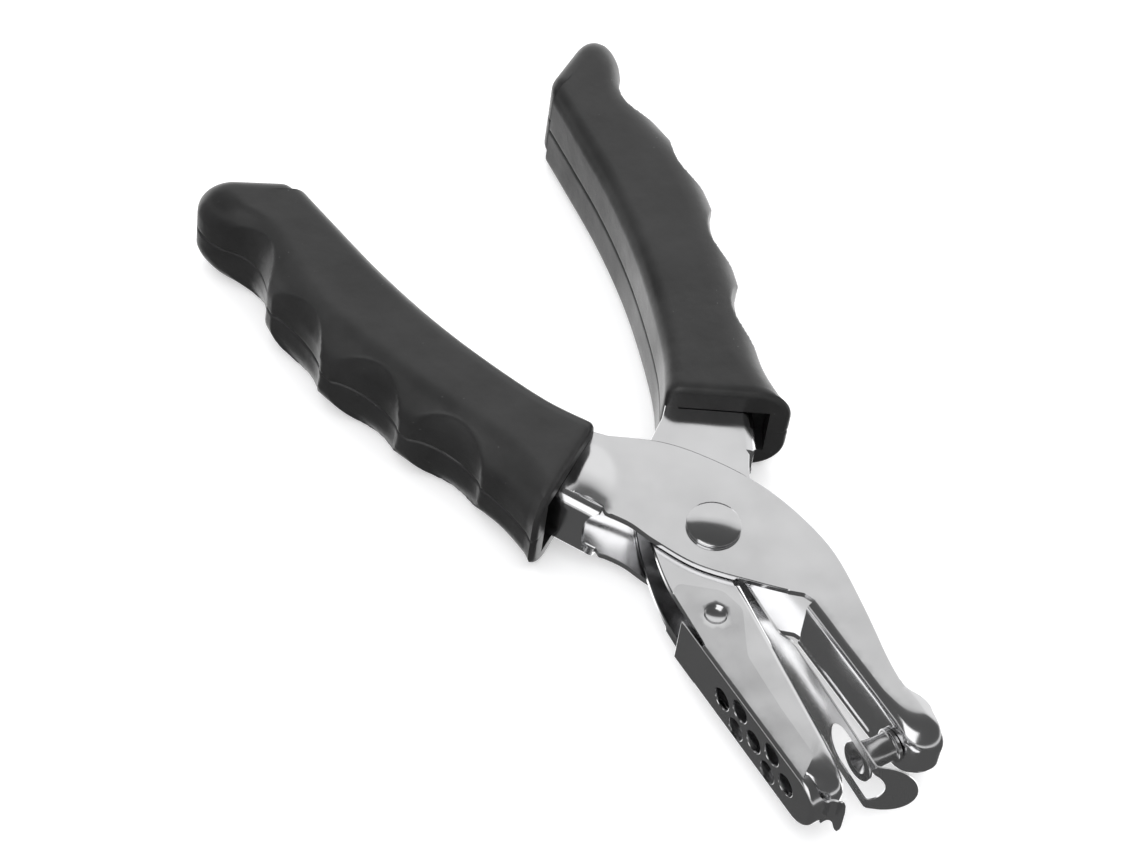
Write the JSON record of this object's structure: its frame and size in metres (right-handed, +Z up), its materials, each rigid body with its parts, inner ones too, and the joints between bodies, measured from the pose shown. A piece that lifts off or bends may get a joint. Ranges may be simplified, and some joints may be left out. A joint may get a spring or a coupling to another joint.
{
  "type": "hole punch",
  "caption": "Hand-held plier hole punch: nested sheet-steel levers on a rivet, round punch and die, stripper plate, hinged chip cover and finger-grooved grips.",
  "frame": {"origin": "bottom centre of the whole punch lying flat and open: z = 0 is the grips' lower faces, x = 0 passes through the pivot, and y = 0 is the middle of its length", "axes": "+Z up and parallel to the pivot, +Y from the jaws to the handles, +X towards the handle of the die lever; rest pose is fully open"},
  "size_m": [0.0734, 0.1384, 0.017],
  "materials": {
    "lever_plating": "bright nickel or chrome plating over pressed steel",
    "rivet_plating": "bright plated rivet",
    "tool_steel": "turned, hardened and tumbled",
    "spring_steel": "rolled strip and drawn wire",
    "cover_plating": "bright plated thin sheet",
    "grip_rubber": "soft black vinyl with a fine satin grain"
  },
  "bodies": {
    "die_lever": {"die_lever": "lever_plating", "pivot_bush": "tool_steel", "return_spring": "spring_steel", "right_grip_upper": "grip_rubber", "right_grip_lower": "grip_rubber"},
    "punch_lever": {"punch_lever": "lever_plating", "punch_pin": "tool_steel", "pivot_rivet": "rivet_plating", "left_grip_upper": "grip_rubber", "left_grip_lower": "grip_rubber"},
    "stripper": {"stripper_plate": "spring_steel"},
    "chip_cover": {"chip_cover": "cover_plating"}
  },
  "joints": [
    {"name": "lever_pivot", "type": "hinge", "parent": "die_lever", "child": "punch_lever", "pos_m": [0, -0.0204, 0.0085], "axis": [0, 0, -1], "range_deg": [0, 10], "stiffness_Nm_per_rad": 0.4, "springref_deg": -20.05, "deforming": ["return_spring"]},
    {"name": "stripper_pivot", "type": "hinge", "parent": "die_lever", "child": "stripper", "pos_m": [0, -0.0204, 0.0085], "axis": [0, 0, -1], "range_deg": [0, 4]},
    {"name": "cover_hinge", "type": "hinge", "parent": "die_lever", "child": "chip_cover", "pos_m": [-0.0077, -0.033, 0.0085], "axis": [0, 0, -1], "range_deg": [0, 24]}
  ],
  "couplings": [
    {"joint": "stripper_pivot", "follows": "lever_pivot", "ratio": 0.4}
  ]
}
